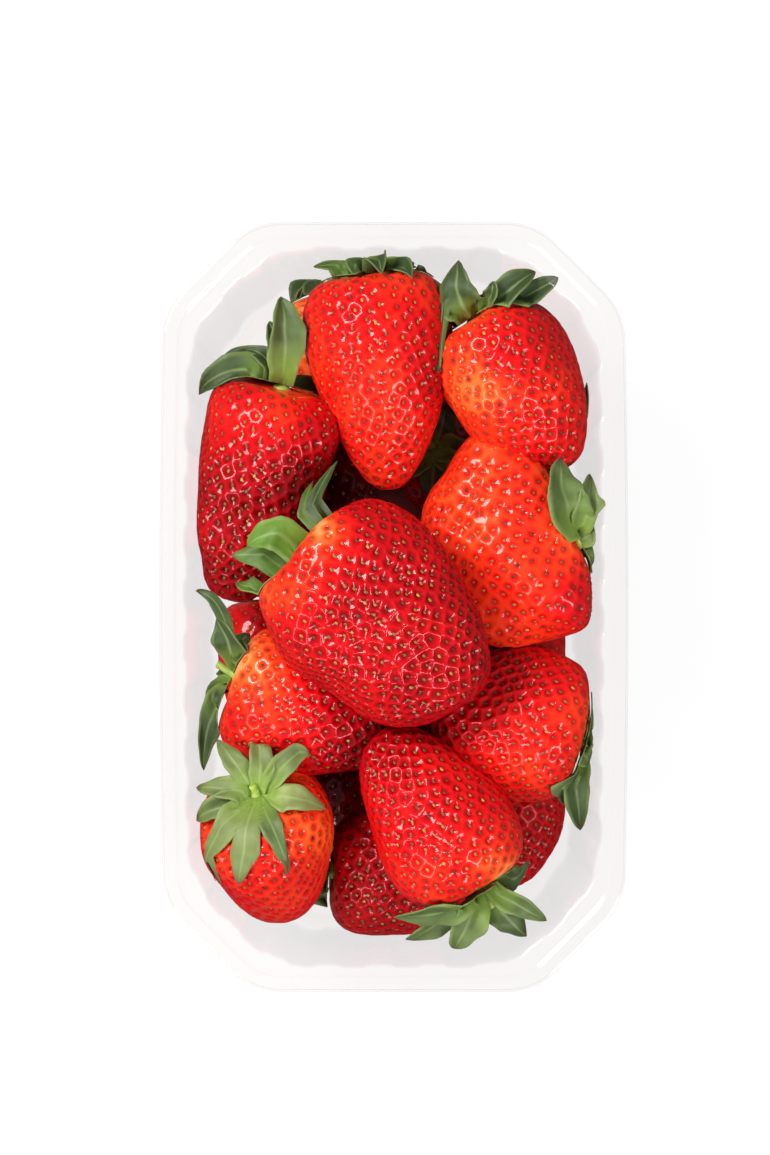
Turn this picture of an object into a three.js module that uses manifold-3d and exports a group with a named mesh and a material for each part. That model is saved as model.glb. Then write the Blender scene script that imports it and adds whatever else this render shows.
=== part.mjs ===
// A punnet of strawberries: a clear thermoformed tray and the heap of berries that fills it.
// Millimetres, +Z up, +Y along the tray. The origin is the centre of the underside.
import * as THREE from "three";
import { mergeVertices } from "three/addons/utils/BufferGeometryUtils.js";
import Module from "manifold-3d";

const wasm = await Module();
wasm.setup();

// Driving dimensions of the tray.
const trayLength = 190;
const trayWidth = 114;
const trayHeight = 60;
const wallThickness = 0.6;
const cornerLeg = 22; // how far each corner is cut back along both sides
const cornerRadius = 18; // rounds the two bends of each corner of the rim
const wallCornerRadius = 26;
const sideBow = 0.9; // the long sides swell outwards by this much
const flangeWidth = 3.7;
const flangeDrop = 2.2; // the lip turned down round the flange
const edgeRound = 0.5;
const stepDrop = 1.2; // the ledge lies this far below the flange
const stepRun = 0.4;
const ledgeRound = 1.5; // the ledge turns down into the wall over this height
const ledgeWidth = 2.1;
const cornerLedge = 1.7; // the ledge is this much wider at the corners
const wallDraft = 4.6; // the wall leans in by this much from the ledge to the floor
const floorRadius = 4; // rounds the wall into the floor
const fluteDepth = 1;
const fluteCount = 38;

// How the heap meets the tray, and how finely the berries are cut.
const contactGap = 0.3;
const coreInset = 13; // the filling between the berries stays this far from the wall
const coreTop = 44;
const coreSlope = 12;
const berryRings = 8;
const berrySides = 12;
const coarsest = 0.3; // edges that matter less than this are dropped from the heap

// Each berry: centre, length from calyx to tip, width, depth, the direction it points (yaw round
// +Z from +X, pitch upwards), how much it tapers, how blunt it is, and any lobes [count, depth, turn].
const berries = [
  { at: [-3, 58, 49], size: [57, 37, 34], yaw: -85, pitch: 0, taper: 0.4, blunt: 0.78 },
  { at: [31, 55, 50], size: [46, 34, 32], yaw: -56, pitch: -4, taper: 0.25, blunt: 0.78 },
  { at: [-34, 30, 46], size: [59, 36, 33], yaw: -104, pitch: -2, taper: 0.25, blunt: 0.75 },
  { at: [-4, -2, 65], size: [61, 48, 34], yaw: -44, pitch: 0, taper: 0.12, blunt: 0.68 },
  { at: [28, 15, 45], size: [43, 55, 33], yaw: -155, pitch: 0, taper: 0.2, blunt: 0.75, lobes: [3, 0.06, 30] },
  { at: [-22, -25, 45], size: [44, 36, 32], yaw: -24, pitch: 0, taper: 0.25, blunt: 0.8 },
  { at: [-31, -61, 43], size: [43, 35, 34], yaw: -78, pitch: -40, taper: 0.3, blunt: 0.8 },
  { at: [29, -28, 45], size: [43, 39, 33], yaw: 162, pitch: 0, taper: 0.25, blunt: 0.8 },
  { at: [10, -52, 54], size: [49, 35, 31], yaw: 125, pitch: 2, taper: 0.25, blunt: 0.8 },
  { at: [3, -68, 25], size: [44, 34, 34], yaw: -3, pitch: 0, taper: 0.25, blunt: 0.8 },
  { at: [29, -54, 18], size: [38, 31, 30], yaw: -85, pitch: 0, taper: 0.25, blunt: 0.8 },
  { at: [-31, -17, 18], size: [44, 30, 29], yaw: -88, pitch: 0, taper: 0.3, blunt: 0.8 },
  { at: [-9, 64, 19], size: [40, 32, 31], yaw: -75, pitch: 0, taper: 0.3, blunt: 0.8 },
  { at: [9, 34, 18], size: [42, 30, 29], yaw: -50, pitch: 0, taper: 0.3, blunt: 0.8 },
  { at: [31, 60, 18], size: [42, 31, 29], yaw: 95, pitch: 0, taper: 0.3, blunt: 0.8 },
  { at: [-31, 32, 18], size: [46, 31, 29], yaw: 80, pitch: 0, taper: 0.3, blunt: 0.8 },
  { at: [29, -3, 18], size: [46, 31, 29], yaw: 93, pitch: 0, taper: 0.3, blunt: 0.8 },
  { at: [-2, -4, 21], size: [38, 29, 33], yaw: -150, pitch: 0, taper: 0.3, blunt: 0.8 },
  { at: [-1, -37, 20], size: [38, 28, 31], yaw: 170, pitch: 0, taper: 0.3, blunt: 0.8 },
  { at: [-31, -55, 17], size: [34, 27, 27], yaw: 100, pitch: 0, taper: 0.3, blunt: 0.8 },
];

// Points round the tray, and what of it they shape.
const flutePoints = 4; // a rise, a crest, a fall and a trough
const aroundCount = fluteCount * flutePoints;
const degrees = Math.PI / 180;

function material(color, roughness, extra = {}) {
  return new THREE.MeshStandardMaterial({ color, roughness, metalness: 0, ...extra });
}

// The tray's outline drawn in from the rim by inset, as points evenly spaced round it: an octagon
// with bowed long sides and rounded bends. Its corners can be cut back further, and rounder.
function trayOutline(inset, cutBack, radius) {
  const halfX = trayWidth / 2 - inset;
  const halfY = trayLength / 2 - inset;
  const leg = cornerLeg - inset * (2 - Math.SQRT2) + cutBack * Math.SQRT2;
  const quarter = [new THREE.Vector2(halfX, halfY - leg), new THREE.Vector2(halfX - leg, halfY)];
  const mirrored = (signX, signY) => quarter.map((p) => new THREE.Vector2(signX * p.x, signY * p.y));
  const bends = [
    ...mirrored(1, 1),
    ...mirrored(-1, 1).reverse(),
    ...mirrored(-1, -1),
    ...mirrored(1, -1).reverse(),
  ];
  const cut = Math.min(radius * Math.tan(22.5 * degrees), leg * 0.7);
  const onSide = (bend, towards) => bend.clone().add(towards.clone().sub(bend).setLength(cut));
  const arcs = bends.map((bend, i) => {
    const before = bends[(i + bends.length - 1) % bends.length];
    const after = bends[(i + 1) % bends.length];
    return new THREE.QuadraticBezierCurve(onSide(bend, before), bend, onSide(bend, after));
  });
  const path = new THREE.CurvePath();
  arcs.forEach((arc, i) => {
    path.add(arc);
    path.add(new THREE.LineCurve(arc.v2, arcs[(i + 1) % arcs.length].v0));
  });
  return path.getSpacedPoints(aroundCount).slice(0, aroundCount).map((p) => {
    const bow = sideBow * Math.cos(Math.min(Math.abs(p.y) / (halfY - leg), 1) * 90 * degrees);
    return new THREE.Vector2(p.x + Math.sign(p.x) * bow, p.y);
  });
}

// One ring of the rim, from the flange's edge to the ledge.
function rimRing(inset, z) {
  const outline = trayOutline(inset, 0, cornerRadius - inset);
  return outline.map((p) => new THREE.Vector3(p.x, p.y, z));
}

// One ring of the wall, whose corners are rounder. share 1 gives it the full flutes, 0 none.
function wallRing(inset, z, share) {
  const outline = trayOutline(inset, cornerLedge, wallCornerRadius);
  return outline.map((p, i) => {
    const before = outline[(i + aroundCount - 1) % aroundCount];
    const after = outline[(i + 1) % aroundCount];
    const tangent = after.clone().sub(before).normalize();
    const reach = i % flutePoints < 2 ? 0 : share * fluteDepth;
    return new THREE.Vector3(p.x - tangent.y * reach, p.y + tangent.x * reach, z);
  });
}

// A closed solid from rings of equal length, with a flat cap on the first and the last ring.
function loftRings(rings) {
  const count = rings[0].length;
  const positions = rings.flat().flatMap((p) => [p.x, p.y, p.z]);
  const index = [];
  for (let ring = 0; ring + 1 < rings.length; ring++) {
    for (let i = 0; i < count; i++) {
      const a = ring * count + i;
      const b = ring * count + ((i + 1) % count);
      index.push(a, b, b + count, a, b + count, a + count);
    }
  }
  const addCap = (ring, flip) => {
    const flat = rings[ring].map((p) => new THREE.Vector2(p.x, p.y));
    for (const [a, b, c] of THREE.ShapeUtils.triangulateShape(flat, [])) {
      const corners = [a, b, c].map((i) => ring * count + i);
      index.push(...(flip ? corners.reverse() : corners));
    }
  };
  addCap(0, true);
  addCap(rings.length - 1, false);
  const geometry = new THREE.BufferGeometry();
  geometry.setAttribute("position", new THREE.Float32BufferAttribute(positions, 3));
  geometry.setIndex(index);
  return geometry;
}

// Heights and insets shared by the tray and the room it leaves for the fruit.
const ledgeInset = flangeWidth + stepRun;
const wallInset = ledgeInset + ledgeWidth;
const ledgeZ = trayHeight - stepDrop;
const floorZ = wallThickness;
const floorBend = floorRadius * (1 - Math.SQRT1_2);

// The rings of the inner face from the floor up to the ledge, set back from the face by gap.
function cavityRings(gap) {
  const foot = wallInset + wallDraft + gap;
  return [
    wallRing(foot + floorRadius, floorZ + gap, 0),
    wallRing(foot + floorBend, floorZ + gap + floorBend, 0.5),
    wallRing(foot, floorZ + gap + floorRadius, 1),
    wallRing(wallInset + gap, ledgeZ - ledgeRound, 1),
  ];
}

function trayGeometry() {
  const outside = cavityRings(-wallThickness);
  const inside = cavityRings(0);
  const underStep = ledgeInset - wallThickness;
  return loftRings([
    ...outside,
    rimRing(underStep, ledgeZ - wallThickness),
    rimRing(underStep, trayHeight - wallThickness),
    rimRing(wallThickness, trayHeight - wallThickness),
    rimRing(wallThickness, trayHeight - flangeDrop),
    rimRing(0, trayHeight - flangeDrop),
    rimRing(0, trayHeight - edgeRound),
    rimRing(edgeRound, trayHeight),
    rimRing(flangeWidth, trayHeight),
    rimRing(ledgeInset, ledgeZ),
    wallRing(wallInset - edgeRound, ledgeZ, 1),
    ...inside.reverse(),
  ]);
}

// The profile radius of a berry at an angle from its calyx, 1 at its widest.
function berryRadius(theta, phi, berry) {
  const k = berry.taper;
  const widest = (Math.sqrt(1 + 8 * k * k) - 1) / (4 * k);
  const most = (1 - widest * widest) ** (berry.blunt / 2) * (1 + k * widest);
  const round = (Math.sin(theta) ** berry.blunt * (1 + k * Math.cos(theta))) / most;
  const [count, depth, turn] = berry.lobes ?? [1, 0, 0];
  return round * (1 + depth * Math.cos(count * (phi - turn * degrees)) * Math.sin(theta));
}

function berryGeometry(berry) {
  const [length, width, depth] = berry.size;
  const positions = [-length / 2, 0, 0, length / 2, 0, 0];
  for (let ring = 1; ring < berryRings; ring++) {
    const theta = (Math.PI * ring) / berryRings;
    for (let side = 0; side < berrySides; side++) {
      const phi = (2 * Math.PI * (side + (ring % 2) / 2)) / berrySides;
      const radius = berryRadius(theta, phi, berry);
      positions.push((-Math.cos(theta) * length) / 2);
      positions.push((radius * Math.cos(phi) * width) / 2);
      positions.push((radius * Math.sin(phi) * depth) / 2);
    }
  }
  const at = (ring, side) => 2 + (ring - 1) * berrySides + (side % berrySides);
  const index = [];
  for (let side = 0; side < berrySides; side++) {
    index.push(0, at(1, side + 1), at(1, side));
    index.push(1, at(berryRings - 1, side), at(berryRings - 1, side + 1));
    for (let ring = 1; ring < berryRings - 1; ring++) {
      const lean = ring % 2;
      const [a, b] = [at(ring, side), at(ring, side + 1)];
      const [c, d] = [at(ring + 1, side), at(ring + 1, side + 1)];
      if (lean) index.push(a, b, d, a, d, c);
      else index.push(a, b, c, b, d, c);
    }
  }
  const geometry = new THREE.BufferGeometry();
  geometry.setAttribute("position", new THREE.Float32BufferAttribute(positions, 3));
  geometry.setIndex(index);
  geometry.rotateY(-berry.pitch * degrees);
  geometry.rotateZ(berry.yaw * degrees);
  geometry.translate(...berry.at);
  return geometry;
}

function toSolid(geometry) {
  const bare = mergeVertices(geometry);
  return new wasm.Manifold(new wasm.Mesh({
    numProp: 3,
    vertProperties: new Float32Array(bare.attributes.position.array),
    triVerts: new Uint32Array(bare.index.array),
  }));
}

function fromSolid(solid) {
  const mesh = solid.getMesh();
  const geometry = new THREE.BufferGeometry();
  geometry.setAttribute("position", new THREE.BufferAttribute(mesh.vertProperties, 3));
  geometry.setIndex(new THREE.BufferAttribute(mesh.triVerts, 1));
  return geometry;
}

// The filling between the berries: a low mound that keeps the heap in one piece without hollows.
function coreGeometry() {
  const foot = wallInset + wallDraft + coreInset;
  return loftRings([
    wallRing(foot, floorZ + contactGap, 0),
    wallRing(foot, coreTop - coreSlope, 0),
    wallRing(foot + coreSlope, coreTop, 0),
  ]);
}

// The berries and the filling as one body, cut clear of the tray, with any shut-in hollow filled.
function heapGeometry() {
  const fruit = wasm.Manifold.union([coreGeometry(), ...berries.map(berryGeometry)].map(toSolid));
  const foot = cavityRings(contactGap);
  const open = foot[foot.length - 1].map((p) => new THREE.Vector3(p.x, p.y, trayHeight * 2));
  const room = toSolid(loftRings([...foot, open]));
  const pieces = fruit.intersect(room).decompose();
  pieces.sort((a, b) => b.volume() - a.volume());
  return fromSolid(pieces[0].simplify(coarsest));
}

function addPart(group, name, geometry, partMaterial) {
  const mesh = new THREE.Mesh(geometry, partMaterial);
  mesh.name = name;
  group.add(mesh);
}

const group = new THREE.Group();
addPart(group, "tray", trayGeometry(), material(0xf0eeee, 0.12, { transparent: true, opacity: 0.35 }));
addPart(group, "strawberry_heap", heapGeometry(), material(0xc8141c, 0.3));

export default group;
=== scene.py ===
import math

import bpy
import numpy as np
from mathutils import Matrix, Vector


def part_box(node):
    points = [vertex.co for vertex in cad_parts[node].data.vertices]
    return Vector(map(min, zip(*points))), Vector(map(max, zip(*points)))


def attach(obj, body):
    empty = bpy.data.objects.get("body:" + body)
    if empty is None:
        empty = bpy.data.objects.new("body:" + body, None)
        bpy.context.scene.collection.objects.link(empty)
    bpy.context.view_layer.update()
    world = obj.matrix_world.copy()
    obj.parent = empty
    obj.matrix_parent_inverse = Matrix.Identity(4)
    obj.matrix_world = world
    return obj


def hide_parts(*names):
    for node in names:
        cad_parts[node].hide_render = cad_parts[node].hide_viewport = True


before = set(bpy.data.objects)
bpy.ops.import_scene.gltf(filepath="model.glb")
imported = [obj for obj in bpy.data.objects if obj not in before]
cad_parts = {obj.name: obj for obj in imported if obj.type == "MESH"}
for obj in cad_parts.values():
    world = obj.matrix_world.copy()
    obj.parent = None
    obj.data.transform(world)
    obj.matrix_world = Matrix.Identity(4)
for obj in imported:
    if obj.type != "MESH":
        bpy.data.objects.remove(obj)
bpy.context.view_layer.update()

mm = 0.001
trayLow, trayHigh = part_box("tray")
groundZ = trayLow.z
trayCentre = (trayLow + trayHigh) / 2
rimZ = trayHigh.z


def hexColor(code):
    # sRGB hex to the linear colour that a shader socket takes
    channels = [int(code[i:i + 2], 16) / 255 for i in (1, 3, 5)]
    linear = [c / 12.92 if c <= 0.04045 else ((c + 0.055) / 1.055) ** 2.4 for c in channels]
    return (*linear, 1.0)


def addNode(tree, kind, inputs=None, **settings):
    # adds one node; an input's value is a plain value, or the output socket that feeds it
    made = tree.nodes.new(kind)
    for name, value in settings.items():
        setattr(made, name, value)
    for name, value in (inputs or {}).items():
        if isinstance(value, bpy.types.NodeSocket):
            tree.links.new(value, made.inputs[name])
        else:
            made.inputs[name].default_value = value
    return made


def maths(tree, operation, *values):
    return addNode(tree, "ShaderNodeMath", dict(enumerate(values)), operation=operation).outputs[0]


def paintOver(tree, factor, under, code):
    # lays one colour over another by a factor
    mix = addNode(tree, "ShaderNodeMix", {"Factor": factor, "A": under}, data_type="RGBA")
    mix.inputs["B"].default_value = hexColor(code)
    return mix.outputs["Result"]


def attribute(tree, name):
    return addNode(tree, "ShaderNodeAttribute", attribute_name=name).outputs["Fac"]


def fadeBetween(tree, value, fromMin, fromMax, toMin, toMax):
    return addNode(tree, "ShaderNodeMapRange", {
        "Value": value, "From Min": fromMin, "From Max": fromMax, "To Min": toMin, "To Max": toMax,
    }).outputs["Result"]


def noise(tree, **settings):
    # noise that stays with the piece
    place = addNode(tree, "ShaderNodeTexCoord").outputs["Object"]
    return addNode(tree, "ShaderNodeTexNoise", {"Vector": place, **settings}).outputs["Fac"]


def setRamp(rampNode, stops):
    ramp = rampNode.color_ramp
    while len(ramp.elements) < len(stops):
        ramp.elements.new(1.0)
    for element, (position, code) in zip(ramp.elements, stops):
        element.position = position
        element.color = hexColor(code)


def newMaterial(name):
    material = bpy.data.materials.new(name)
    material.use_nodes = True
    material.node_tree.nodes.clear()
    return material, material.node_tree


def finishMaterial(tree, shader):
    addNode(tree, "ShaderNodeOutputMaterial", {"Surface": shader})


def meshPiece(name, points, faces, material, attributes=None):
    # points in millimetres from the middle of the tray's underside
    mesh = bpy.data.meshes.new(name)
    origin = np.array([trayCentre.x, trayCentre.y, groundZ])
    mesh.from_pydata((points * mm + origin).tolist(), [], [list(face) for face in faces])
    for key, values in (attributes or {}).items():
        values = np.asarray(values, dtype=np.float32)
        kind = "FLOAT" if values.ndim == 1 else "FLOAT_VECTOR"
        layer = mesh.attributes.new(key, kind, "POINT")
        layer.data.foreach_set("value" if values.ndim == 1 else "vector", values.ravel())
    mesh.materials.append(material)
    mesh.shade_smooth()
    mesh.update()
    piece = bpy.data.objects.new(name, mesh)
    bpy.context.collection.objects.link(piece)
    return piece


def bakeNodes(piece, tree, values):
    # runs a geometry node tree on the piece and keeps its result as the piece's plain mesh
    modifier = piece.modifiers.new("nodes", "NODES")
    modifier.node_group = tree
    for item in tree.interface.items_tree:
        if item.item_type == "SOCKET" and item.in_out == "INPUT" and item.name in values:
            modifier[item.identifier] = values[item.name]
    keepResult(piece)


def keepResult(piece):
    # makes what the piece's modifiers give its plain mesh
    evaluated = piece.evaluated_get(bpy.context.evaluated_depsgraph_get())
    result = bpy.data.meshes.new_from_object(evaluated)
    piece.modifiers.clear()
    old, piece.data = piece.data, result
    bpy.data.meshes.remove(old)


# camera and light: lengths in millimetres, and fill and backdrop are how bright the world is
studio = {
    "floorSize": 4000, "cameraHeight": 1050, "frameHeight": 285, "sensor": 36,
    "aimX": -2.2, "aimY": 7.3, "fill": 0.3, "backdrop": 1.0,
    "floorGlow": 0.915, "floorColor": "#525252",
}


def addCamera():
    data = bpy.data.cameras.new("camera")
    data.sensor_fit = "VERTICAL"
    data.sensor_height = studio["sensor"]
    data.lens = studio["sensor"] * studio["cameraHeight"] / studio["frameHeight"]
    camera = bpy.data.objects.new("camera", data)
    x = trayCentre.x + studio["aimX"] * mm
    y = trayCentre.y + studio["aimY"] * mm
    camera.location = (x, y, rimZ + studio["cameraHeight"] * mm)
    bpy.context.collection.objects.link(camera)
    bpy.context.scene.camera = camera


def addLight(name, place, size, watts, color):
    data = bpy.data.lights.new(name, "AREA")
    data.shape = "DISK"
    data.size = size
    data.energy = watts
    data.color = hexColor(color)[:3]
    light = bpy.data.objects.new(name, data)
    light.location = place
    light.rotation_euler = (Vector(place) - trayCentre).to_track_quat("Z", "Y").to_euler()
    bpy.context.collection.objects.link(light)


def addFloor():
    # a light table: it looks evenly white, and throws little light back up at the fruit
    material, tree = newMaterial("acrylic light table")
    rays = addNode(tree, "ShaderNodeLightPath")
    speck = addNode(tree, "ShaderNodeTexNoise", {"Scale": 40.0, "Detail": 2.0})
    low, high = studio["floorGlow"] - 0.01, studio["floorGlow"] + 0.01
    tint = fadeBetween(tree, speck.outputs["Fac"], 0.0, 1.0, low, high)
    glow = maths(tree, "MULTIPLY", tint, rays.outputs["Is Camera Ray"])
    shader = addNode(tree, "ShaderNodeBsdfPrincipled", {
        "Base Color": hexColor(studio["floorColor"]), "Roughness": 0.9, "Specular IOR Level": 0.1,
        "Emission Color": (1, 1, 1, 1), "Emission Strength": glow})
    finishMaterial(tree, shader.outputs["BSDF"])
    half = studio["floorSize"] / 2
    corners = np.array([[-half, -half, 0], [half, -half, 0], [half, half, 0], [-half, half, 0]])
    meshPiece("floor", corners, [[0, 1, 2, 3]], material)


def addWorld():
    world = bpy.data.worlds.new("studio")
    world.use_nodes = True
    tree = world.node_tree
    rays = addNode(tree, "ShaderNodeLightPath")
    seen = rays.outputs["Is Camera Ray"]
    strength = fadeBetween(tree, seen, 0.0, 1.0, studio["fill"], studio["backdrop"])
    background = tree.nodes["Background"]
    background.inputs["Color"].default_value = hexColor("#FFFFFF")
    tree.links.new(strength, background.inputs["Strength"])
    bpy.context.scene.world = world


def addStudio():
    addCamera()
    addFloor()
    addWorld()
    addLight("softbox left", (-0.70, 0.50, 0.92), 0.52, 18, "#FFFDFA")
    addLight("softbox right", (0.62, -0.56, 0.92), 0.45, 9.5, "#FFFFFF")
    addLight("softbox near", (-0.60, -0.70, 0.80), 0.5, 6, "#FFFFFF")
    bpy.context.scene.view_settings.view_transform = "Standard"


addStudio()
print("studio ready")

# the tray's sizes in millimetres; each gap is what a piece keeps clear of the wall
tray = {
    "flutes": 38, "steps": 14, "cornerLeg": 22, "rimCorner": 18, "wallCorner": 26, "cornerLedge": 1.7,
    "bow": 0.9, "draft": 4.6, "wallInset": 6.2, "ledgeDrop": 1.2, "floorRadius": 4, "wall": 0.5,
    "fluteDepth": 0.65, "lip": 2.2, "floor": 0.6, "ease": 4.0, "cornerSlack": 8,
    "berryGap": 0.55, "seedGap": 0.45, "stubGap": 0.3, "leafGap": 0.2,
}
tray["halfX"] = (trayHigh.x - trayLow.x) / 2 / mm - tray["bow"]
tray["halfY"] = (trayHigh.y - trayLow.y) / 2 / mm
tray["height"] = (trayHigh.z - trayLow.z) / mm


def trayWallX(z):
    # how far out the flutes' crests reach at a height, at the ends of the long sides
    ledge = tray["height"] - tray["ledgeDrop"]
    wall = tray["halfX"] - tray["wallInset"] - tray["fluteDepth"]
    widening = 6 * np.maximum(z - ledge, 0)  # above the ledge the way widens to the rim
    return wall - tray["draft"] * np.clip((ledge - z) / ledge, 0, 1) + widening


def easedTo(values, limit):
    # values well inside the limit stay, and those near it and past it are pressed up against it
    start = limit - tray["ease"]
    past = np.maximum(np.abs(values) - start, 0)
    pressed = start + tray["ease"] * np.tanh(past / tray["ease"])
    return np.where(past > 0, np.sign(values) * pressed, values)


def keepInTray(points, gap):
    # presses what would pass through the tray's wall or floor back inside it, and keeps it round
    inside = points.copy()
    side = trayWallX(points[:, 2]) - gap
    end = side + tray["halfY"] - tray["halfX"]
    bowed = np.minimum(np.abs(points[:, 1]) / (tray["halfY"] - tray["cornerLeg"]), 1) * math.pi / 2
    inside[:, 0] = easedTo(points[:, 0], side + tray["bow"] * np.cos(bowed))
    inside[:, 1] = easedTo(points[:, 1], end)
    reach = np.abs(inside[:, 0]) + np.abs(inside[:, 1])
    corner = side + end - tray["cornerLeg"] + tray["cornerSlack"]
    over = (reach - easedTo(reach, corner))[:, None] / 2
    inside[:, :2] -= np.sign(inside[:, :2]) * over
    inside[:, 2] = np.maximum(inside[:, 2], tray["floor"] + gap)
    return inside


# the nine on top, the two under their near end, and then the ones lower down: each has its middle,
# and its length, width and height in millimetres
berries = [
    {"at": (-3, 58, 49), "size": (57, 37, 34), "yaw": -85, "pitch": 0, "taper": 0.4, "blunt": 0.78,
     "tone": 0.36, "net": 0.35, "lumps": 0.5,
     # painted shade: the patch at (12, 56) darkens this berry's side where it lies against berry_02
     "patches": [(-12, 74, 9, -0.16), (8, 66, 8, -0.14), (-2, 46, 12, 0.06), (12, 56, 8, -0.3)]},
    {"at": (31, 55, 50), "size": (46, 34, 32), "yaw": -56, "pitch": -4, "taper": 0.25, "blunt": 0.78,
     "tone": 0.4, "net": 0.5, "lumps": 0.7,
     "patches": [(19, 56, 8, 0.22), (24, 46, 9, 0.14), (38, 56, 8, 0.04), (36, 66, 9, -0.14),
                 (26, 62, 5, -0.14)]},
    {"at": (-34, 30, 46), "size": (59, 36, 33), "yaw": -104, "pitch": -2, "taper": 0.25, "blunt": 0.75,
     "tone": 0.67, "net": 0.85, "lumps": 1.1,
     # painted shade: the patch at (-24, 30) darkens this berry's side that berry_01 and berry_04 shade
     "patches": [(-26, 53, 8, 0.34), (-42, 48, 9, 0.22), (-30, 44, 7, 0.1), (-24, 30, 9, -0.12)]},
    {"at": (-4, -2, 65), "size": (61, 48, 34), "yaw": -44, "pitch": 0, "taper": 0.12, "blunt": 0.68,
     "tone": 0.57, "net": 0.9, "lumps": 1.0, "notch": 0.12,
     "patches": [(-17, 19, 6, 0.34), (-28, 3, 7, 0.3), (-20, 8, 6, 0.12), (0, 4, 14, -0.06),
                 (14, -16, 9, 0.04)]},
    {"at": (28, 15, 45), "size": (43, 55, 33), "yaw": -155, "pitch": 0, "taper": 0.2, "blunt": 0.75,
     "lobes": (3, 0.06, 30), "tone": 0.28, "net": 0.35, "lumps": 1.2, "notch": 0.14,
     "patches": [(16, 26, 9, 0.06), (47, -1, 9, -0.3), (34, 28, 7, -0.1)]},
    {"at": (-22, -25, 45), "size": (44, 36, 32), "yaw": -24, "pitch": 0, "taper": 0.25, "blunt": 0.8,
     "tone": 0.42, "net": 0.6, "lumps": 0.8,
     # painted shade: the patch at (-8, -34) darkens this berry's shaded right side
     "patches": [(-36, -13, 9, 0.26), (-28, -26, 8, 0.12), (-8, -34, 12, -0.34), (-16, -16, 8, -0.12)]},
    {"at": (-31, -61, 43), "size": (43, 35, 34), "yaw": -78, "pitch": -40, "taper": 0.3, "blunt": 0.8,
     "tone": 0.4, "net": 0.7, "lumps": 0.5,
     "patches": [(-46, -57, 8, 0.12), (-18, -58, 8, 0.2), (-28, -76, 8, 0.08)]},
    {"at": (29, -28, 45), "size": (43, 39, 33), "yaw": 162, "pitch": 0, "taper": 0.25, "blunt": 0.8,
     "tone": 0.44, "net": 0.8, "lumps": 0.7,
     # painted shadow: the patch at (12, -24) darkens this berry's side where berry_04 throws its shadow
     "patches": [(43, -27, 7, 0.14), (32, -41, 7, 0.12), (12, -24, 10, -0.22), (30, -12, 9, -0.16)]},
    {"at": (10, -52, 54), "size": (49, 35, 31), "yaw": 125, "pitch": 2, "taper": 0.25, "blunt": 0.8,
     "tone": 0.47, "net": 0.8, "lumps": 0.6,
     "patches": [(26, -65, 6, 0.3), (8, -67, 7, 0.12), (22, -54, 6, 0.04), (-2, -34, 10, -0.14)]},
    {"at": (3, -68, 25), "size": (44, 34, 34), "yaw": -3, "pitch": 0, "taper": 0.25, "blunt": 0.8,
     "tone": 0.66, "net": 0.9, "lumps": 0.6},
    {"at": (29, -54, 18), "size": (38, 31, 30), "yaw": -85, "pitch": 0, "taper": 0.25, "blunt": 0.8,
     "tone": 0.58, "net": 1.2, "lumps": 0.5},
    {"at": (-31, -17, 18), "size": (44, 30, 29), "yaw": -88, "pitch": 0, "tone": 0.5},
    {"at": (-11, 63, 19), "size": (42, 36, 32), "yaw": -75, "pitch": 0, "tone": 0.2,
     "patches": [(-21, 68, 9, 0.14)]},
    {"at": (16, 33, 20), "size": (37, 28, 28), "yaw": -50, "pitch": -55, "tone": 0.75},
    {"at": (31, 60, 18), "size": (42, 31, 29), "yaw": 95, "pitch": 0, "tone": 0.4},
    {"at": (-31, 32, 18), "size": (46, 31, 29), "yaw": 80, "pitch": 0, "tone": 0.48},
    {"at": (29, -3, 18), "size": (46, 31, 29), "yaw": 93, "pitch": 0, "tone": 0.52},
    {"at": (-2, -4, 21), "size": (38, 29, 33), "yaw": -150, "pitch": 0, "tone": 0.6},
    {"at": (-1, -37, 20), "size": (38, 28, 31), "yaw": 170, "pitch": 0, "tone": 0.6},
    {"at": (-31, -55, 17), "size": (34, 27, 27), "yaw": 100, "pitch": 0, "tone": 0.4},
    {"at": (28, 29, 16), "size": (30, 25, 26), "yaw": 172, "pitch": 0, "tone": 0.45},
    # painted shade: the last three, hidden berries get the darkest tones to stand in for the deep shade of
    # the heap's gaps
    {"at": (-15, -45, 22), "size": (32, 26, 27), "yaw": 70, "pitch": 18, "tone": 0.85},
    {"at": (-11, 32, 20), "size": (34, 26, 27), "yaw": 100, "pitch": 12, "tone": 1.0},
    {"at": (13, 50, 14), "size": (30, 24, 25), "yaw": 60, "pitch": 0, "tone": 1.0},
]
# tone is how ripe, and the darkest tones on the hidden berry_22 to berry_24 are painted shade; net how deep
# the ridges, and lumps how uneven the form; a patch is a place across the tray, a radius, and how much
# more pale the skin is there, and a negative amount darkens it, which is painted shade on the sides of
# berry_01, berry_03, berry_06 and berry_08 that a neighbour shades
usual = {"taper": 0.3, "blunt": 0.8, "lobes": (1, 0.0, 0), "notch": 0.07, "net": 0.55, "lumps": 0.6,
         "patches": []}
for place, berry in enumerate(berries):
    berry["name"] = f"berry_{place + 1:02d}"
    berry["rank"] = "upper" if place < 9 else "middle" if place < 11 else "lower"
    if berry["size"][0] * berry["size"][1] > 2600:
        berry["rank"] = "big"
    for key, value in usual.items():
        berry.setdefault(key, value)
    if berry["rank"] == "lower" and berry["pitch"] == 0:
        berry["at"] = (*berry["at"][:2], berry["size"][2] / 2 + 1.2)  # on the tray's floor

# the skin's mesh cells along a cube's edge, its pits, and the ridges between them
flesh = {
    "cells": {"big": 104, "upper": 62, "middle": 46, "lower": 28}, "lean": 0.5,
    "seedSpacing": 3.3, "seedSpacingLower": 3.7, "pitRadius": 0.9, "pitDepth": 0.42,
    "ridgeWidth": 0.55, "ridgeDepth": 0.5,
}
seed = {"length": 1.5, "width": 0.95, "thickness": 0.42, "taper": 0.3, "proud": 0.03}


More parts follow.
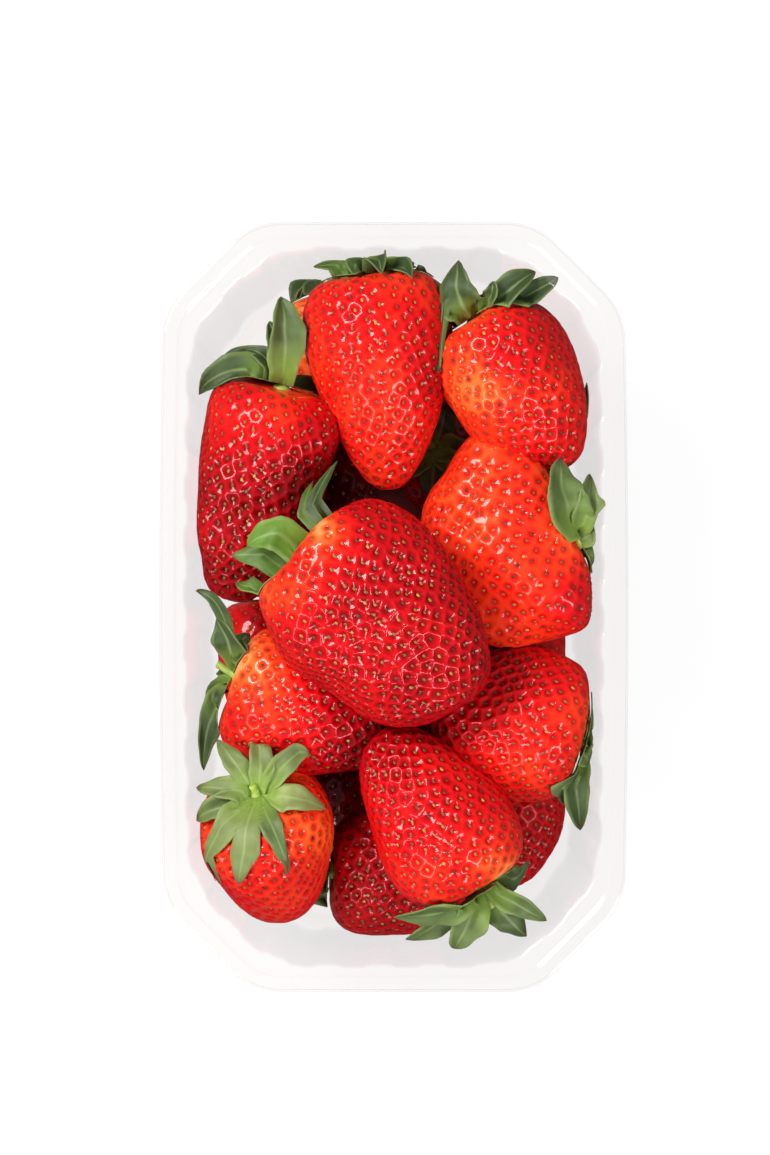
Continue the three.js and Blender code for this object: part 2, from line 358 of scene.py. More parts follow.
def berryAxes(berry):
    yaw, pitch = math.radians(berry["yaw"]), math.radians(berry["pitch"])
    along = np.array([math.cos(pitch) * math.cos(yaw), math.cos(pitch) * math.sin(yaw), math.sin(pitch)])
    side = np.array([-math.sin(yaw), math.cos(yaw), 0.0])
    return np.array([along, side, np.cross(along, side)])


def lumpWaves(berry):
    # a few broad waves, different on each berry
    random = np.random.default_rng(int(sum(berry["at"]) * 7 + berry["size"][0]) + 500)
    waves = random.normal(size=(7, 3))
    waves /= np.linalg.norm(waves, axis=1)[:, None]
    lengths = random.uniform(13, 34, 7)
    return waves * (2 * math.pi / lengths)[:, None], random.uniform(0, 6.28, 7), lengths / 34


def skinPoints(berry, theta, phi):
    # the berry's surface in its own frame, calyx end first
    theta, phi = np.broadcast_arrays(theta, phi)
    k = berry["taper"]
    widest = (math.sqrt(1 + 8 * k * k) - 1) / (4 * k)
    most = (1 - widest ** 2) ** (berry["blunt"] / 2) * (1 + k * widest)
    sine = np.sin(theta)
    radius = np.abs(sine) ** berry["blunt"] * (1 + k * np.cos(theta)) / most
    count, depth, turn = berry["lobes"]
    radius = radius * (1 + depth * np.cos(count * (phi - math.radians(turn))) * sine)
    dip = berry["notch"] * np.exp(-(sine / 0.45) ** 2) * (theta < math.pi / 2)
    length, width, height = berry["size"]
    points = np.stack([
        (dip - np.cos(theta) / 2) * length,
        radius * np.cos(phi) * width / 2,
        radius * np.sin(phi) * height / 2,
    ], axis=-1)
    waves, phases, heights = berry["waves"]
    wave = (np.sin(points @ waves.T + phases) * heights).sum(axis=-1) * berry["lumps"] * 0.6
    outward = points / np.maximum(np.linalg.norm(points, axis=-1, keepdims=True), 1e-6)
    return points + outward * wave[..., None]


def skinNormals(berry, theta, phi, step=0.02):
    theta = np.clip(theta, step * 2, math.pi - step * 2)
    down = skinPoints(berry, theta + step, phi) - skinPoints(berry, theta - step, phi)
    around = skinPoints(berry, theta, phi + step) - skinPoints(berry, theta, phi - step)
    normal = np.cross(around, down)
    return (normal / np.linalg.norm(normal, axis=-1, keepdims=True),
            down / np.linalg.norm(down, axis=-1, keepdims=True))


def seedPlaces(berry, spacing):
    # turns by the golden angle down the berry, evenly by area, as seeds grow
    ring = np.linspace(0, math.pi, 200)
    around = np.linspace(0, 2 * math.pi, 25)[:-1]
    grid = skinPoints(berry, ring[:, None], around[None, :])
    slant = np.linalg.norm(np.diff(grid, axis=0), axis=-1)
    girth = np.linalg.norm(np.roll(grid, -1, axis=1) - grid, axis=-1)
    band = (slant * (girth[:-1] + girth[1:]) / 2).sum(axis=1)
    total = np.concatenate([[0], np.cumsum(band)])
    count = int(total[-1] / (spacing ** 2 * 0.866))
    random = np.random.default_rng(count)
    share = (np.arange(count) + 0.5) / count * total[-1]
    theta = np.interp(share, total, ring) + random.normal(0, 0.01, count)
    phi = (np.arange(count) * math.radians(137.508) + random.normal(0, 0.035, count)) % (2 * math.pi)
    keep = (theta > 0.42) & (theta < 3.08)
    return theta[keep], phi[keep]


def cubeSphere(cells):
    # unit sphere of even quads, welded along the cube's edges
    t = np.tan(np.linspace(-math.pi / 4, math.pi / 4, cells + 1))
    u, v = np.meshgrid(t, t, indexing="ij")
    one = np.ones_like(u)
    sides = [(one, u, v), (-one, v, u), (v, one, u), (u, -one, v), (u, v, one), (v, u, -one)]
    points, faces = [], []
    index = np.arange((cells + 1) ** 2).reshape(cells + 1, cells + 1)
    quads = np.stack([index[:-1, :-1], index[1:, :-1], index[1:, 1:], index[:-1, 1:]], -1).reshape(-1, 4)
    for number, side in enumerate(sides):
        points.append(np.stack(side, -1).reshape(-1, 3))
        faces.append(quads + number * index.size)
    points = np.concatenate(points)
    points /= np.linalg.norm(points, axis=1)[:, None]
    _, first, inverse = np.unique(np.round(points, 5), axis=0, return_index=True, return_inverse=True)
    return points[first], inverse.reshape(-1)[np.concatenate(faces)]


def nearestTwo(points, seeds):
    # how far each point is from its nearest seed and from the next, in blocks that fit in memory
    first, second = np.empty(len(points)), np.empty(len(points))
    for start in range(0, len(points), 4000):
        part = points[start:start + 4000]
        far = ((part[:, None, :] - seeds[None, :, :]) ** 2).sum(-1)
        two = np.sqrt(np.partition(far, 1, axis=1)[:, :2])
        first[start:start + 4000], second[start:start + 4000] = two[:, 0], two[:, 1]
    return first, second


def skinDetail(berry, points, placed, first, second):
    # how far the skin sinks at each point, and how much of that is pit
    share = points[:, 0] / berry["size"][0] + 0.5
    paleSkinAndShade = np.zeros(len(points))
    # patches: a positive amount makes the skin more pale, and a negative one darkens it, which on some
    # berries is painted shade from a neighbour
    for x, y, radius, amount in berry["patches"]:
        far = np.hypot(placed[:, 0] - x, placed[:, 1] - y)
        paleSkinAndShade += amount * np.exp(-(far / radius) ** 2)
    net = berry["net"] * np.clip(0.6 + 0.5 * share - 2.2 * paleSkinAndShade, 0.12, 1.2)
    # cell and pit also go to the skin's colour as painted shade, darker in the sunk cells and pits
    cell = 1 - np.exp(-((second - first) / 2 / flesh["ridgeWidth"]) ** 2)
    pit = np.exp(-(first / flesh["pitRadius"]) ** 2)
    nearCalyx = np.clip(share / 0.12, 0, 1)
    sink = flesh["ridgeDepth"] * net * cell + flesh["pitDepth"] * pit
    # tone: ripeness, together with the patches' painted shade
    tone = berry["tone"] - paleSkinAndShade + 0.1 * (share - 0.5) - 0.2 * (1 - nearCalyx)
    return sink * nearCalyx, pit, cell * net, tone


def makeFlesh(berry, material):
    berry["axes"] = berryAxes(berry)
    berry["waves"] = lumpWaves(berry)
    ball, faces = cubeSphere(flesh["cells"][berry["rank"]])
    if berry["rank"] != "lower":
        ball = ball + np.array([0, 0, flesh["lean"]])
        ball /= np.linalg.norm(ball, axis=1)[:, None]
    local = ball @ berry["axes"].T
    theta = np.arccos(np.clip(-local[:, 0], -1, 1))
    phi = np.arctan2(local[:, 2], local[:, 1])
    points = skinPoints(berry, theta, phi)
    normals, _ = skinNormals(berry, theta, phi)
    spacing = flesh["seedSpacingLower" if berry["rank"] == "lower" else "seedSpacing"]
    seedTheta, seedPhi = seedPlaces(berry, spacing)
    seeds = skinPoints(berry, seedTheta, seedPhi)
    first, second = nearestTwo(points, seeds)
    placed = points @ berry["axes"] + np.array(berry["at"])
    sink, pit, cell, tone = skinDetail(berry, points, placed, first, second)
    world = placed - (normals * sink[:, None]) @ berry["axes"]
    pressed = keepInTray(world, tray["berryGap"])
    piece = meshPiece(berry["name"], pressed, faces, material, {"tone": tone, "pit": pit, "cell": cell})
    seedNormals, seedDown = skinNormals(berry, seedTheta, seedPhi)
    _, second = nearestTwo(seeds, seeds)
    placed = seeds @ berry["axes"] + np.array(berry["at"])
    seedSink = skinDetail(berry, seeds, placed, np.zeros(len(seeds)), second)[0]
    placed -= (seedNormals * (seedSink - seed["proud"])[:, None]) @ berry["axes"]
    berry["seeds"] = {
        "at": keepInTray(placed, tray["seedGap"]),
        "outward": seedNormals @ berry["axes"], "towardsTip": seedDown @ berry["axes"],
    }
    return piece


def skinMaterial():
    # ripe strawberry skin: wet-looking wax over soft flesh, pale and orange where less ripe; its colour is
    # darker in the pits and sunk cells as painted shade, with the ridges left lighter as a painted
    # highlight, and its tone also carries painted shade on some berries
    material, tree = newMaterial("ripe strawberry skin")
    blotch = maths(tree, "SUBTRACT", noise(tree, Scale=90.0, Detail=3.0, Roughness=0.55), 0.5)
    uneven = maths(tree, "MULTIPLY_ADD", blotch, 0.4, attribute(tree, "tone"))
    # painted shade in the sunk cells, which leaves the ridges between them lighter as a painted highlight
    cellShadedTone = maths(tree, "MULTIPLY_ADD", attribute(tree, "cell"), 0.1, uneven)
    # painted shade in the pits
    pitShadedTone = maths(tree, "MULTIPLY_ADD", attribute(tree, "pit"), 0.26, cellShadedTone)
    ramp = addNode(tree, "ShaderNodeValToRGB", {"Fac": pitShadedTone})
    setRamp(ramp, [(0.0, "#FFAA6C"), (0.13, "#F56A2C"), (0.28, "#E83616"), (0.46, "#D01010"),
                   (0.68, "#AA030E"), (0.88, "#7A020A"), (1.0, "#540107")])
    bump = addNode(tree, "ShaderNodeBump", {
        "Height": noise(tree, Scale=900.0, Detail=2.0), "Strength": 0.06, "Distance": 0.0004})
    shader = addNode(tree, "ShaderNodeBsdfPrincipled", {
        "Base Color": ramp.outputs["Color"], "Roughness": 0.32, "IOR": 1.38, "Specular IOR Level": 0.1,
        "Subsurface Weight": 0.18, "Subsurface Radius": (1.0, 0.25, 0.12), "Subsurface Scale": 0.0025,
        "Coat Weight": 0.55, "Coat Roughness": 0.08, "Coat IOR": 1.4, "Normal": bump.outputs["Normal"]})
    finishMaterial(tree, shader.outputs["BSDF"])
    return material


skin = skinMaterial()
for berry in berries:
    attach(makeFlesh(berry, skin), "root")
print("berries", len(berries), "seeds", sum(len(b["seeds"]["at"]) for b in berries))


def seedMaterial():
    # dry strawberry achenes: thin woody husks, from red-brown to straw
    material, tree = newMaterial("dry achene husk")
    ramp = addNode(tree, "ShaderNodeValToRGB", {"Fac": attribute(tree, "shade")})
    setRamp(ramp, [(0.0, "#5A2C10"), (0.35, "#88501C"), (0.7, "#A87028"), (1.0, "#C6923A")])
    bump = addNode(tree, "ShaderNodeBump", {
        "Height": noise(tree, Scale=1500.0, Detail=1.0), "Strength": 0.2, "Distance": 0.0002})
    shader = addNode(tree, "ShaderNodeBsdfPrincipled", {
        "Base Color": ramp.outputs["Color"], "Roughness": 0.6, "IOR": 1.4,
        "Normal": bump.outputs["Normal"]})
    finishMaterial(tree, shader.outputs["BSDF"])
    return material


def seedTree(material):
    tree = bpy.data.node_groups.new("seeds in pits", "GeometryNodeTree")
    face = tree.interface
    face.new_socket("Geometry", in_out="INPUT", socket_type="NodeSocketGeometry")
    for label in ("Seed length", "Seed width", "Seed thickness"):
        face.new_socket(label, in_out="INPUT", socket_type="NodeSocketFloat")
    face.new_socket("Random seed", in_out="INPUT", socket_type="NodeSocketInt")
    face.new_socket("Geometry", in_out="OUTPUT", socket_type="NodeSocketGeometry")
    given = addNode(tree, "NodeGroupInput")
    size = addNode(tree, "ShaderNodeCombineXYZ", {
        "X": given.outputs["Seed length"], "Y": given.outputs["Seed width"],
        "Z": given.outputs["Seed thickness"]})
    ball = addNode(tree, "GeometryNodeMeshIcoSphere", {"Radius": 0.5, "Subdivisions": 1})
    place = addNode(tree, "GeometryNodeInputPosition")
    split = addNode(tree, "ShaderNodeSeparateXYZ", {"Vector": place.outputs["Position"]})
    narrow = maths(tree, "MULTIPLY_ADD", split.outputs["X"], -2 * seed["taper"], 1.0)
    across = maths(tree, "MULTIPLY", split.outputs["Y"], narrow)
    drop = addNode(tree, "ShaderNodeCombineXYZ", {
        "X": split.outputs["X"], "Y": across, "Z": split.outputs["Z"]})
    shaped = addNode(tree, "GeometryNodeSetPosition", {
        "Geometry": ball.outputs["Mesh"], "Position": drop.outputs["Vector"]})
    sized = addNode(tree, "GeometryNodeTransform", {
        "Geometry": shaped.outputs["Geometry"], "Scale": size.outputs["Vector"]})
    smooth = addNode(tree, "GeometryNodeSetShadeSmooth", {"Geometry": sized.outputs["Geometry"]})
    outward = addNode(tree, "GeometryNodeInputNamedAttribute", {"Name": "outward"},
                      data_type="FLOAT_VECTOR")
    tip = addNode(tree, "GeometryNodeInputNamedAttribute", {"Name": "towardsTip"},
                  data_type="FLOAT_VECTOR")
    turn = addNode(tree, "FunctionNodeAxesToRotation", {
        "Primary Axis": outward.outputs["Attribute"], "Secondary Axis": tip.outputs["Attribute"]},
        primary_axis="Z", secondary_axis="X")
    vary = addNode(tree, "FunctionNodeRandomValue", {"Min": 0.82, "Max": 1.12,
                   "Seed": given.outputs["Random seed"]}, data_type="FLOAT")
    points = addNode(tree, "GeometryNodeMeshToPoints", {"Mesh": given.outputs["Geometry"]})
    placed = addNode(tree, "GeometryNodeInstanceOnPoints", {
        "Points": points.outputs["Points"], "Instance": smooth.outputs["Geometry"],
        "Rotation": turn.outputs["Rotation"], "Scale": vary.outputs["Value"]})
    real = addNode(tree, "GeometryNodeRealizeInstances", {"Geometry": placed.outputs["Instances"]})
    finish = addNode(tree, "GeometryNodeSetMaterial", {
        "Geometry": real.outputs["Geometry"], "Material": material})
    addNode(tree, "NodeGroupOutput", {"Geometry": finish.outputs["Geometry"]})
    return tree


def makeSeeds():
    husk = seedMaterial()
    joined = {key: np.concatenate([b["seeds"][key] for b in berries])
              for key in ("at", "outward", "towardsTip")}
    random = np.random.default_rng(11)
    shade = np.clip(random.normal(0.45, 0.25, len(joined["at"])), 0, 1)
    piece = meshPiece("seeds", joined["at"], [], husk, {
        "outward": joined["outward"], "towardsTip": joined["towardsTip"], "shade": shade})
    bakeNodes(piece, seedTree(husk), {
        "Seed length": seed["length"] * mm, "Seed width": seed["width"] * mm,
        "Seed thickness": seed["thickness"] * mm, "Random seed": 3})
    return piece


seeds = makeSeeds()
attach(seeds, "root")
print("seeds", len(seeds.data.polygons))


def trayOutline(inset, cutBack, radius):
    # an octagon with rounded bends and bowed long sides, evenly stepped from the middle of one side
    halfX, halfY = tray["halfX"] - inset, tray["halfY"] - inset
    leg = tray["cornerLeg"] - inset * (2 - math.sqrt(2)) + cutBack * math.sqrt(2)
    radius = min(radius, leg * 0.7 / math.tan(math.pi / 8))
    reach = radius * math.tan(math.pi / 8)
    slant = math.sqrt(0.5)
    sweep = np.linspace(0, math.pi / 4, 13)
    first = np.stack([halfX - radius + radius * np.cos(sweep),
                      halfY - leg - reach + radius * np.sin(sweep)], 1)
    middle = np.array([halfX - leg, halfY]) + np.array([slant, -slant]) * reach
    centre = middle - radius * np.array([slant, slant])
    second = centre + radius * np.stack([np.cos(sweep + math.pi / 4), np.sin(sweep + math.pi / 4)], 1)
    quarter = np.concatenate([[[halfX, 0]], first, second, [[0, halfY]]])
    half = np.concatenate([quarter, (quarter * [-1, 1])[::-1][1:]])
    whole = np.concatenate([half, (half * [1, -1])[::-1][1:]])
    travelled = np.concatenate([[0], np.cumsum(np.linalg.norm(np.diff(whole, axis=0), axis=1))])
    count = tray["flutes"] * tray["steps"]
    even = np.arange(count) / count * travelled[-1]
    points = np.stack([np.interp(even, travelled, whole[:, axis]) for axis in (0, 1)], 1)
    share = np.minimum(np.abs(points[:, 1]) / (halfY - leg), 1)
    points[:, 0] += np.sign(points[:, 0]) * tray["bow"] * np.cos(share * math.pi / 2)
    return points


def trayRows():
    # the top face's rings: inset, height, fluted share, and whether it is wall or rim
    height, wallInset = tray["height"], tray["wallInset"]
    ledge = height - tray["ledgeDrop"]
    rows = [(0.0, height - tray["lip"], 0, "rim"), (0.0, height - 1.2, 0, "rim")]
    for turn in (0, 30, 60, 90):
        angle = math.radians(turn)
        rows.append((0.6 - 0.6 * math.cos(angle), height - 0.6 + 0.6 * math.sin(angle), 0, "rim"))
    rows += [(2.2, height, 0, "rim"), (3.4, height, 0, "rim"), (3.7, height - 0.12, 0, "rim"),
             (3.85, height - 0.5, 0, "rim"), (3.95, ledge + 0.3, 0, "rim"), (4.15, ledge + 0.04, 0, "rim"),
             (4.5, ledge, 0, "rim")]
    rows += [(wallInset - 1.1, ledge, 0.9, "wall"), (wallInset - 0.45, ledge - 0.1, 1, "wall"),
             (wallInset - 0.12, ledge - 0.45, 1, "wall"), (wallInset, ledge - 1.1, 1, "wall")]
    bottom = tray["floor"] + tray["floorRadius"]
    top = ledge - 1.1
    for share in np.linspace(0, 1, 9)[1:]:
        rows.append((wallInset + tray["draft"] * share, top + (bottom - top) * share, 1, "wall"))
    for turn in (25, 50, 75, 90):
        angle = math.radians(turn)
        inset = wallInset + tray["draft"] + tray["floorRadius"] * (1 - math.cos(angle))
        rows.append((inset, bottom - tray["floorRadius"] * math.sin(angle), math.cos(angle) ** 0.7, "wall"))
    foot = wallInset + tray["draft"] + tray["floorRadius"]
    rows += [(foot + 3, tray["floor"], 0, "wall"), (foot + 14, tray["floor"], 0, "wall")]
    return rows


def fluteTree():
    # raises the wall's flutes: a rounded square wave along the wall, inwards
    tree = bpy.data.node_groups.new("wall flutes", "GeometryNodeTree")
    face = tree.interface
    face.new_socket("Geometry", in_out="INPUT", socket_type="NodeSocketGeometry")
    for label in ("Flute depth", "Flutes", "Sharpness"):
        face.new_socket(label, in_out="INPUT", socket_type="NodeSocketFloat")
    face.new_socket("Geometry", in_out="OUTPUT", socket_type="NodeSocketGeometry")
    given = addNode(tree, "NodeGroupInput")
    around = addNode(tree, "GeometryNodeInputNamedAttribute", {"Name": "around"}, data_type="FLOAT")
    fluted = addNode(tree, "GeometryNodeInputNamedAttribute", {"Name": "fluted"}, data_type="FLOAT")
    inward = addNode(tree, "GeometryNodeInputNamedAttribute", {"Name": "inward"},
                     data_type="FLOAT_VECTOR")
    turns = maths(tree, "MULTIPLY", around.outputs["Attribute"], given.outputs["Flutes"])
    wave = maths(tree, "SINE", maths(tree, "MULTIPLY", turns, math.tau))
    square = maths(tree, "TANH", maths(tree, "MULTIPLY", wave, given.outputs["Sharpness"]))
    share = maths(tree, "MULTIPLY_ADD", square, 0.5, 0.5)
    depth = maths(tree, "MULTIPLY", share, given.outputs["Flute depth"])
    reach = maths(tree, "MULTIPLY", depth, fluted.outputs["Attribute"])
    push = addNode(tree, "ShaderNodeVectorMath", {0: inward.outputs["Attribute"], "Scale": reach},
                   operation="SCALE")
    moved = addNode(tree, "GeometryNodeSetPosition", {
        "Geometry": given.outputs["Geometry"], "Offset": push.outputs["Vector"]})
    addNode(tree, "NodeGroupOutput", {"Geometry": moved.outputs["Geometry"]})
    return tree


def plasticMaterial():
    # thermoformed PET sheet: clear with a faint milky cast, glossy, greyer where seen edge-on
    material, tree = newMaterial("thermoformed clear PET")
    facing = addNode(tree, "ShaderNodeLayerWeight", {"Blend": 0.5})
    tint = addNode(tree, "ShaderNodeValToRGB", {"Fac": facing.outputs["Facing"]})
    setRamp(tint, [(0.0, "#FCFBFA"), (0.6, "#FEFDFD"), (1.0, "#FBFAFA")])
    clear = addNode(tree, "ShaderNodeBsdfTransparent", {"Color": tint.outputs["Color"]})
    gloss = addNode(tree, "ShaderNodeBsdfGlossy", {"Color": (1, 1, 1, 1), "Roughness": 0.07})
    edge = maths(tree, "POWER", facing.outputs["Facing"], 5.0)
    share = maths(tree, "MULTIPLY_ADD", edge, 0.14, 0.04)
    sheet = addNode(tree, "ShaderNodeMixShader", {
        0: share, 1: clear.outputs["BSDF"], 2: gloss.outputs["BSDF"]})
    milk = addNode(tree, "ShaderNodeBsdfPrincipled", {
        "Base Color": hexColor("#F3F3F4"), "Roughness": 0.35})
    cast = addNode(tree, "ShaderNodeMixShader", {
        0: 0.03, 1: sheet.outputs["Shader"], 2: milk.outputs["BSDF"]})
    finishMaterial(tree, cast.outputs["Shader"])
    return material


def makeTray():
    points, around, fluted, inward = [], [], [], []
    rows = trayRows()
    count = tray["flutes"] * tray["steps"]
    for inset, z, share, kind in rows:
        if kind == "rim":
            outline = trayOutline(inset, 0, tray["rimCorner"] - inset)
        else:
            outline = trayOutline(inset, tray["cornerLedge"], tray["wallCorner"])
        tangent = np.roll(outline, -1, axis=0) - np.roll(outline, 1, axis=0)
        tangent /= np.linalg.norm(tangent, axis=1)[:, None]
        points.append(np.column_stack([outline, np.full(count, z)]))
        around.append(np.arange(count) / count)
        fluted.append(np.full(count, share))
        inward.append(np.column_stack([-tangent[:, 1], tangent[:, 0], np.zeros(count)]))
    points = np.concatenate(points + [[[0, 0, tray["floor"]]]])
    index = np.arange(count * len(rows)).reshape(len(rows), count)
    ahead = np.roll(index, -1, axis=1)
    quads = np.stack([index[:-1], ahead[:-1], ahead[1:], index[1:]], -1).reshape(-1, 4)
    middle = len(points) - 1
    faces = quads.tolist() + [[a, b, middle] for a, b in zip(index[-1].tolist(), ahead[-1].tolist())]
    piece = meshPiece("tray_shell", points, faces, plasticMaterial(), {
        "around": np.concatenate(around + [[0]]), "fluted": np.concatenate(fluted + [[0]]),
        "inward": np.concatenate(inward + [[[0, 0, 0]]])})
    bakeNodes(piece, fluteTree(), {
        "Flute depth": tray["fluteDepth"] * mm, "Flutes": float(tray["flutes"]), "Sharpness": 4.0})
    solid = piece.modifiers.new("sheet", "SOLIDIFY")
    solid.thickness = tray["wall"] * mm
    solid.offset = -1
    keepResult(piece)
    return piece


shell = makeTray()
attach(shell, "root")
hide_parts("tray")
print("tray", len(shell.data.polygons))

# sepals: each has its tip, the point that it bends through, its width, and now and then its foot;
# tint runs from bright through dark to pale green, and whole means that no more are added
leaf = {"rows": 18, "columns": 6, "thickness": 0.3, "widen": 1.15}
calyxes = {
    "berry_01": {"tint": 0.25, "leaves": [
        ((-20, 85, 48), (-13, 85, 50), 4.5), ((-18, 81, 46), (-12, 82, 48), 5),
        ((-11, 88, 51), (-8, 86, 51), 5), ((-5, 89, 53), (-5, 86, 52), 5),
        ((2, 87, 53), (-1, 86, 52), 5),
        ((5, 86, 51), (0, 85, 51), 4.5), ((10, 81, 47), (4, 83, 49), 6),
        ((-10, 82, 61), (-9, 85, 56), 6), ((-3, 82, 63), (-4, 86, 57), 6),
        ((4, 81, 61), (1, 85, 56), 6)]},
    "berry_02": {"tint": 0.35, "leaves": [
        ((16, 86, 56), (16, 77, 59), 10), ((10, 79, 53), (14, 76, 56), 7.5),
        ((35, 83, 57), (28, 78, 59), 7),
        ((41, 82, 56), (33, 77, 57), 6), ((24, 80, 60), (24, 77, 60), 4),
        ((11, 53, 45), (14, 62, 53), 6),
        ((14, 52, 43), (16, 60, 50), 5)]},
    "berry_03": {"tint": 0.4, "leaves": [
        ((-50, 53, 47), (-39, 59, 52), 8), ((-28, 77, 54), (-27, 67, 55), 9),
        ((-31, 71, 51), (-29, 65, 51), 5),
        ((-37, 64, 50), (-32, 62, 51), 5), ((-46, 58, 47), (-37, 62, 50), 6)]},
    "berry_04": {"tint": 0.1, "leaves": [
        ((-36, 15, 67), (-29, 18, 70), 8.5), ((-40, 13, 61), (-32, 13, 63), 6),
        ((-39, 6, 63), (-32, 6, 67), 5.5),
        ((-14, 36, 60), (-20, 25, 65), 3.5), ((-20, 31, 58), (-22, 24, 62), 3)]},
    "berry_05": {"tint": 0.75, "base": (46, 17, 52), "leaves": [
        ((41, 37, 57), (42, 27, 61), 11), ((49, 33, 54), (48, 25, 58), 8),
        ((50, 22, 51), (49, 18, 54), 5),
        ((50, 8, 49), (49, 12, 51), 5.5)]},
    "berry_06": {"tint": 0.4, "leaves": [
        ((-50, 4, 51), (-43, -1, 53), 3.5), ((-44, -3, 55), (-41, -9, 55), 7.5),
        ((-38, -8, 54), (-38, -12, 53), 5),
        ((-48, -41, 43), (-46, -29, 46), 7), ((-43, -26, 49), (-43, -22, 49), 4)]},
    "berry_07": {"tint": 0.88, "whole": True, "leaves": [
        ((-50, -45, 52), (-41, -45, 58), 6), ((-44, -33, 51), (-39, -39, 58), 5.5),
        ((-34, -30, 52), (-33, -38, 59), 6),
        ((-19, -33, 52), (-26, -38, 59), 5.5), ((-17, -50, 56), (-25, -47, 61), 6.5),
        ((-27, -62, 62), (-30, -54, 64), 5.5),
        ((-38, -68, 59), (-36, -57, 62), 6.5), ((-46, -63, 55), (-41, -54, 60), 6.5),
        ((-50, -53, 53), (-42, -49, 58), 6.5)]},
    "berry_08": {"tint": 0.6, "leaves": [
        ((50, -21, 48), (48, -28, 51), 5.5), ((51, -29, 46), (49, -32, 50), 5),
        ((49, -39, 50), (47, -36, 53), 8),
        ((47, -56, 43), (45.5, -45, 50), 8), ((43, -50, 45), (43, -42, 51), 6.5)]},
    "berry_10": {"tint": 0.3, "leaves": [
        ((-18, -73, 34), (-17, -70, 31), 5), ((-16, -60, 36), (-16, -64, 32), 4)]},
    "berry_14": {"tint": 0.3, "leaves": [
        ((2, 32, 38), (6, 36, 38), 7), ((13, 50, 38), (12, 45, 38), 7.5),
        ((22, 38, 39), (16, 39, 39), 7),
        ((9, 26, 39), (10, 33, 39), 8), ((18, 30, 39), (15, 35, 39), 6)]},
    "berry_15": {"tint": 0.4, "leaves": [((49, 56, 46), (48.5, 49, 42), 4.5, (46, 42, 33))]},
    "berry_09": {"tint": 0.6, "leaves": [
        ((0, -77, 54), (12, -75, 59), 7), ((3, -83, 48), (12, -78, 53), 7),
        ((22, -65, 61), (22, -68, 59), 4.5),
        ((15, -85, 52), (18, -79, 56), 8), ((38, -78, 52), (31, -74, 56), 5.5),
        ((33, -82, 50), (28, -77, 54), 7.5)]},
}


def leafSheet(base, via, tip, width, outward, random, rows, columns):
    # one sepal: an ovate blade along a bend, cupped, creased down the middle, with a wandering edge
    t = np.linspace(0, 1, rows + 1)[:, None]
    v = np.linspace(-1, 1, columns + 1)[None, :]
    pull = 2 * via - (base + tip) / 2
    spine = (1 - t) ** 2 * base + 2 * t * (1 - t) * pull + t ** 2 * tip
    run = 2 * (1 - t) * (pull - base) + 2 * t * (tip - pull)
    run /= np.linalg.norm(run, axis=1)[:, None]
    side = np.cross(run, outward)
    side /= np.linalg.norm(side, axis=1)[:, None]
    face = np.cross(side, run)
    twist = random.normal(0, 0.3) * t
    side, face = (side * np.cos(twist) + face * np.sin(twist),
                  face * np.cos(twist) - side * np.sin(twist))
    half = width / 2 * (0.4 + 0.6 * np.sin(np.minimum(t / 0.48, 1) * math.pi / 2)) * (1 - t ** 2.8) ** 0.8
    slow, quick, turn = random.uniform(4, 7), random.uniform(17, 26), random.uniform(0, 6.28)
    edge = 0.1 * np.sin(slow * t + turn + 1.3 * v) + 0.05 * np.sin(quick * t + turn + 2.1 * v)
    half = np.maximum(half * (1 + edge * np.abs(v)), 0.05)
    cup = random.uniform(-0.15, 0.45) + random.normal(0, 0.2) * t
    ripple = 0.1 * np.sin(quick * 0.6 * t + 3.5 * v + turn) + 0.14 * np.sin(slow * t + turn) * np.abs(v)
    rise = half * (cup * v ** 2 + ripple + 0.15 * np.abs(v))
    points = spine[:, None] + side[:, None] * (v * half)[..., None] + face[:, None] * rise[..., None]
    index = np.arange(points.shape[0] * points.shape[1]).reshape(points.shape[:2])
    quads = np.stack([index[:-1, :-1], index[:-1, 1:], index[1:, 1:], index[1:, :-1]], -1).reshape(-1, 4)
    along, across = np.repeat(t, columns + 1, 1), np.repeat(v, rows + 1, 0)
    return points.reshape(-1, 3), quads, along.ravel(), across.ravel()


def clearOfBerries(points, gap=0.9):
    # lifts what lies inside a berry out through its nearest skin, sideways or past its calyx
    clear = points.copy()
    for berry in berries:
        local = (clear - berry["at"]) @ berry["axes"].T
        length, width, height = berry["size"]
        theta = np.arccos(np.clip(-2 * local[:, 0] / length, -1, 1))
        phi = np.arctan2(local[:, 2] / height, local[:, 1] / width)
        skinAt = skinPoints(berry, theta, phi)
        far = np.hypot(local[:, 1], local[:, 2])
        side = np.hypot(skinAt[:, 1], skinAt[:, 2]) + gap
        inside = (np.abs(2 * local[:, 0] / length) < 1) & (far < side)
        cap = np.linspace(0, math.pi / 2, 60)
        table = skinPoints(berry, cap[:, None], np.linspace(0, math.tau, 9)[None, :-1]).mean(axis=1)
        reach = np.hypot(*np.moveaxis(skinPoints(berry, cap[:, None], np.zeros((1, 1)))[:, 0, 1:], 1, 0))
        front = np.interp(far, reach, table[:, 0]) - gap
        sideways, along = side - far, local[:, 0] - front
        push = inside & ((sideways <= along) | (local[:, 0] > -0.25 * length))
        scale = np.where(push, side / np.maximum(far, 0.1), 1.0)
        local[:, 1:] *= scale[:, None]
        local[:, 0] = np.where(inside & ~push, front, local[:, 0])
        clear = local @ berry["axes"] + np.array(berry["at"])
    return clear


